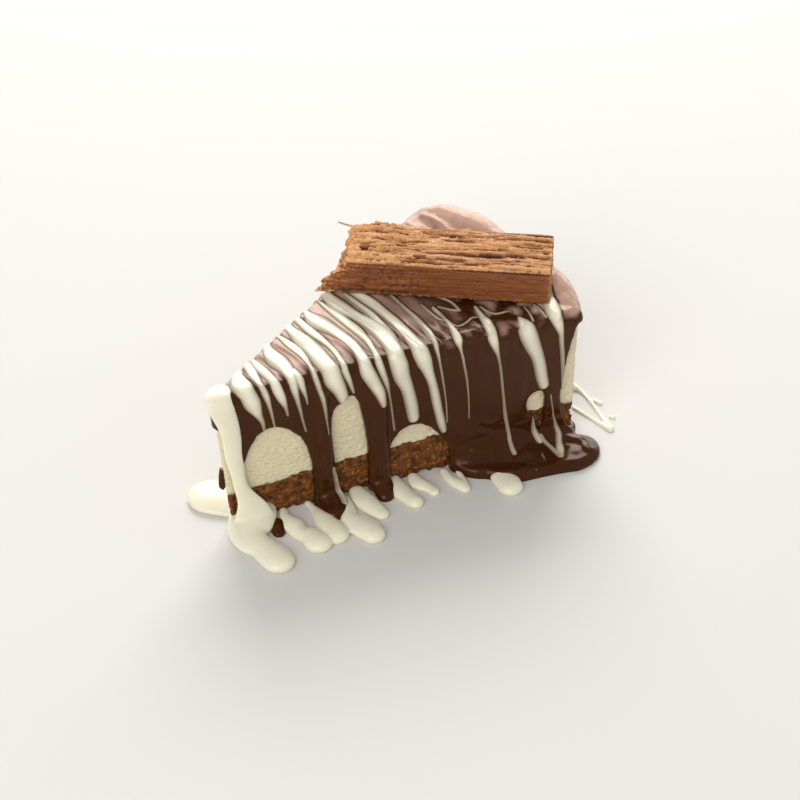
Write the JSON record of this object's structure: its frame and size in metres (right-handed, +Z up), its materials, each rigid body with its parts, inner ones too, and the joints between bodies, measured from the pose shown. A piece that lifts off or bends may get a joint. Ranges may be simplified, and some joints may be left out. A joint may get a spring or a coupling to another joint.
{
  "type": "cheesecake slice",
  "caption": "Slice of cheesecake on a biscuit base, under chocolate sauce with white drizzle that pools at its foot, with a flaked milk chocolate bar on top.",
  "frame": {"origin": "on the floor, under the middle of the slice's centreline", "axes": "+X from the tip to the rim along the slice's centreline, +Z up, so the cut with the two windows and drips faces -Y"},
  "size_m": [0.145, 0.0972, 0.0728],
  "materials": {
    "biscuit": "crumbly baked biscuit crumb",
    "cream": "matte aerated cream cheese",
    "chocolate_sauce": "glossy poured sauce",
    "white_sauce": "satin gloss poured sauce",
    "flaked_chocolate": "matte flaky milk chocolate"
  },
  "bodies": {
    "root": {"biscuit_base": "biscuit", "cream_filling": "cream", "chocolate_sauce": "chocolate_sauce", "flaked_bar": "flaked_chocolate", "white_pool_tip": "white_sauce", "white_pool_left": "white_sauce", "white_pool_middle": "white_sauce", "white_pool_right": "white_sauce", "white_splash": "white_sauce"}
  },
  "joints": []
}
